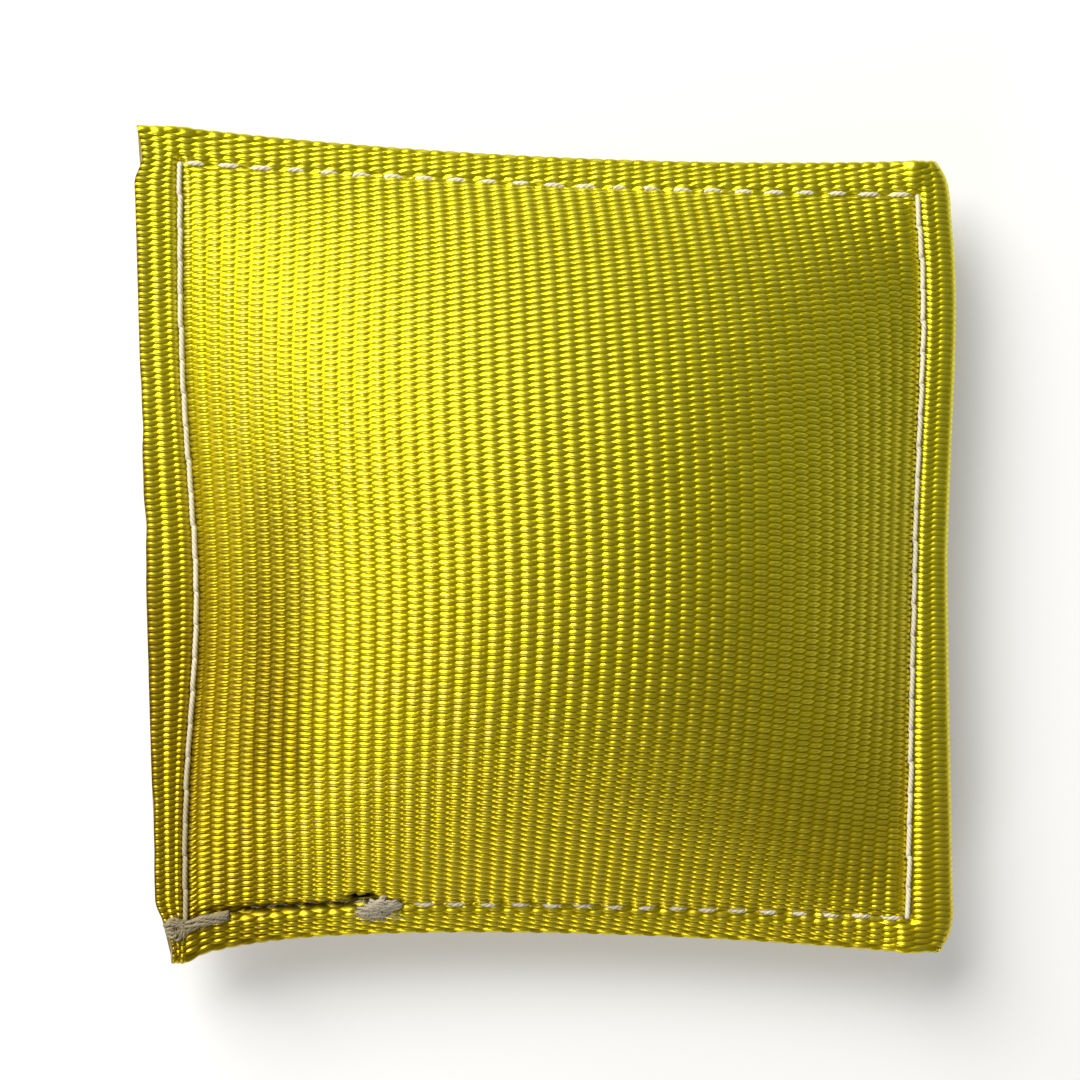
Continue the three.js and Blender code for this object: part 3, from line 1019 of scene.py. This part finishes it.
def painted_band_shade(tree, colour, cloud, x, y):
    """Painted shade: a darker band runs down beside the left seam."""
    across = number(tree, "MULTIPLY_ADD", cloud, 5 * MM, x)
    right = fade_from(tree, across, CENTRE_X, -23, -29)
    left = fade_from(tree, across, CENTRE_X, -36, -32)
    upper = fade_from(tree, y, CENTRE_Y, 22, -8)
    lower = fade_from(tree, y, CENTRE_Y, -33, -24)
    width, length = number(tree, "MULTIPLY", right, left), number(tree, "MULTIPLY", upper, lower)
    return tinted(tree, colour, number(tree, "MULTIPLY", width, length), BAND_SHADE_TINT)


def varied(tree, colour, place):
    """Each yarn has its own tone, darkened in the deep crease as painted shade, and a fine speckle."""
    vary = number(tree, "MULTIPLY_ADD", attribute(tree, "tone"), 0.06, 0.96)
    vary = number(tree, "MULTIPLY_ADD", noise(tree, place, 700), 0.08, vary)
    shade = add_node(tree, "ShaderNodeVectorMath", operation="SCALE")
    tree.links.new(colour, shade.inputs[0])
    tree.links.new(vary, shade.inputs["Scale"])
    return shade.outputs["Vector"]


def webbing_material():
    """Dyed polyester. Its bright filaments reflect with the dye's own colour, like a tinted metal."""
    material, tree, shader = new_material("webbing_yarn", 0.36, 0.6)
    shader.inputs["Metallic"].default_value = 0.88
    place, x, y = object_place(tree)
    cloud = noise(tree, place, 55)
    # Painted shade in the hollows between yarns, and a paler top as painted highlight.
    colour = ramp(tree, attribute(tree, "relief"), YARN_COLOURS)
    # Painted warm light, painted shade with some soiling, and a painted band of shade.
    for change in (painted_warm_light, shade_and_soil, painted_band_shade):
        colour = change(tree, colour, cloud, x, y)
    colour = tinted(tree, colour, attribute(tree, "sealed"), MELTED_TINT)
    tree.links.new(varied(tree, colour, place), shader.inputs["Base Color"])
    filaments = noise(tree, place, 900, stretch=(0.5, 6, 6))
    fine_bumps(tree, shader, filaments, 0.08, 0.03 * MM)
    tree.links.new(number(tree, "MULTIPLY_ADD", filaments, 0.12, 0.30), shader.inputs["Roughness"])
    return material


def thread_material(name, light, dark):
    """Bonded thread: painted shade between its strands, with a thin uneven film of wax and soil, and
    painted shade with some soiling toward the lower left corner."""
    material, tree, shader = new_material(name, 0.55, 0.4)
    place, x, y = object_place(tree)
    # Painted shade between the strands, from their relief; the noise is a film of wax and soil.
    shade = number(tree, "MULTIPLY_ADD", attribute(tree, "relief"), 0.45, 0.15)
    shade = number(tree, "MULTIPLY_ADD", noise(tree, place, 700, detail=3), 0.8, shade)
    colour = ramp(tree, shade, [(0.35, dark), (0.85, light)])
    # Painted shade with some soiling toward the lower left corner, like the webbing.
    left = fade_from(tree, x, CENTRE_X, -15, -32)
    low = fade_from(tree, y, CENTRE_Y, -5, -38)
    colour = tinted(tree, colour, number(tree, "MULTIPLY", left, low), THREAD_SHADE_AND_SOIL_TINT)
    tree.links.new(colour, shader.inputs["Base Color"])
    fine_bumps(tree, shader, noise(tree, place, 5000), 0.3, 0.04 * MM)
    return material


SHOT_COLOURS = [  # from the gaps to the tops of the balls
    (0.25, (0.09, 0.055, 0.035)),
    (0.5, (0.20, 0.195, 0.19)),
    (0.85, (0.42, 0.42, 0.43)),
]


def shot_material():
    """Steel shot, grey, with a thin patchy film of oil and rust in the gaps."""
    material, tree, shader = new_material("steel_shot", 0.4)
    shader.inputs["Metallic"].default_value = 0.9
    place = object_place(tree)[0]
    film = noise(tree, place, 400, detail=4)
    shade = number(tree, "MULTIPLY", film, 0.6)
    shade = number(tree, "MULTIPLY_ADD", attribute(tree, "relief"), 0.5, shade)
    tree.links.new(ramp(tree, shade, SHOT_COLOURS), shader.inputs["Base Color"])
    tree.links.new(number(tree, "MULTIPLY_ADD", film, 0.4, 0.2), shader.inputs["Roughness"])
    return material


# ---------- camera, floor and light ----------
VIEW_TILT = math.radians(6.5)
VIEW_DISTANCE = 0.300
FRAME_WIDTH = 0.1301  # of the view at that distance
VIEW_SHIFT = (-1.6 * MM, 0.8 * MM)  # of the view's centre, from the middle of the pouch
SENSOR_WIDTH = 36
FLOOR_REACH = 3.0
FLOOR_GLOW = 0.26
WORLD_STRENGTH = 0.16
WHITE = (1, 1, 1, 1)


def set_camera():
    target = Vector((CENTRE_X + VIEW_SHIFT[0], CENTRE_Y + VIEW_SHIFT[1], SEAM_HEIGHT))
    away = Vector((-math.sin(VIEW_TILT), 0, math.cos(VIEW_TILT)))
    data = bpy.data.cameras.new("camera")
    data.sensor_width = SENSOR_WIDTH
    data.lens = SENSOR_WIDTH * VIEW_DISTANCE / FRAME_WIDTH
    data.clip_start = 0.01
    camera = bpy.data.objects.new("camera", data)
    camera.location = target + VIEW_DISTANCE * away
    camera.rotation_euler = (0, -VIEW_TILT, 0)
    bpy.context.collection.objects.link(camera)
    bpy.context.scene.camera = camera


def area_light(name, direction, distance, size, power, colour):
    data = bpy.data.lights.new(name, "AREA")
    data.size = size
    data.energy = power
    data.color = colour
    light = bpy.data.objects.new(name, data)
    toward = Vector(direction).normalized()
    light.location = toward * distance
    light.rotation_euler = toward.to_track_quat("Z", "Y").to_euler()
    bpy.context.collection.objects.link(light)


def set_floor():
    """A pale sheet just under the pouch, which glows a little, so that its shadows stay light."""
    mesh = bpy.data.meshes.new("floor")
    corners = [(x * FLOOR_REACH, y * FLOOR_REACH, 0) for x, y in ((-1, -1), (1, -1), (1, 1), (-1, 1))]
    mesh.from_pydata(corners, [], [(0, 1, 2, 3)])
    floor = bpy.data.objects.new("floor", mesh)
    floor.location.z = BOX_LOW[2] - 0.2 * MM
    bpy.context.collection.objects.link(floor)
    material, _, shader = new_material("floor_white", 0.9, 0.1)
    shader.inputs["Base Color"].default_value = (0.75, 0.75, 0.75, 1)
    shader.inputs["Emission Color"].default_value = WHITE
    shader.inputs["Emission Strength"].default_value = FLOOR_GLOW
    mesh.materials.append(material)


def set_light():
    """A soft key from the upper left, a weak fill from below it and an even surround."""
    world = bpy.data.worlds.new("studio")
    world.use_nodes = True
    background = world.node_tree.nodes["Background"]
    background.inputs["Color"].default_value = WHITE
    background.inputs["Strength"].default_value = WORLD_STRENGTH
    bpy.context.scene.world = world
    area_light("key", (-0.55, 0.63, 0.70), 0.9, 0.62, 11.8, (1.0, 0.99, 0.96))
    area_light("low_fill", (-0.40, -0.80, 0.45), 0.9, 0.3, 1.7, (1.0, 0.97, 0.92))
    bpy.context.scene.view_settings.view_transform = "Standard"


# ---------- the assembly ----------
FOLD_FIRST = PLY_COLUMNS - 3
HALF_PLY = FOLD_FIRST // 2
LAST = 2 * PLY_COLUMNS
COVER_PARTS = {  # first and last rib, and mesh rows for each rib
    "cover_upper_left": (0, HALF_PLY, FINE_STEPS),
    "cover_upper_right": (HALF_PLY, FOLD_FIRST, FINE_STEPS),
    "cover_fold": (FOLD_FIRST, LAST - FOLD_FIRST, FINE_STEPS),
    "cover_lower_right": (LAST - FOLD_FIRST, LAST - HALF_PLY, COARSE_STEPS),
    "cover_lower_left": (LAST - HALF_PLY, LAST, COARSE_STEPS),
}
UPPER, LOWER = +1, -1


def keep(piece, slot, material, *nodes):
    piece.data.materials.clear()
    piece.data.materials.append(material)
    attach(piece, "root")
    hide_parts(*nodes)


def build_cover():
    webbing = webbing_material()
    for part, (first, last, steps) in COVER_PARTS.items():
        piece = cloth_piece(part, first, last, steps)
        keep(piece, "webbing", webbing, "webbing_cover")


def build_threads():
    bonded = thread_material("bonded_thread", (0.80, 0.74, 0.56), (0.42, 0.37, 0.24))
    for thread, side in (("needle", UPPER), ("bobbin", LOWER)):
        for seam, (start, end) in MAIN_RUNS.items():
            node = f"{thread}_thread_{seam}"
            piece = stitch_piece(f"{node}_strands", seam, side, start, end, SEAM_LOOK[seam])
            keep(piece, "thread", bonded, node)
        node = f"closing_{thread}_thread"
        piece = stitch_piece(f"{node}_strands", "bottom", side, *CLOSING_RUN, SUNK_LOOK)
        keep(piece, "thread", bonded, node)


def build_backtacks():
    worn = thread_material("worn_thread", (0.56, 0.50, 0.38), (0.33, 0.285, 0.20))
    for face, side in (("upper", UPPER), ("lower", LOWER)):
        node = f"corner_backtack_{face}"
        keep(corner_tack(f"{node}_strands", side), "worn_thread", worn, node)
        node = f"gap_backtack_{face}"
        keep(gap_tack(f"{node}_strands", side), "worn_thread", worn, node)


set_camera()
set_floor()
set_light()
build_cover()
build_threads()
build_backtacks()
keep(shot_piece("shot_pile"), "shot", shot_material(), "shot_fill")
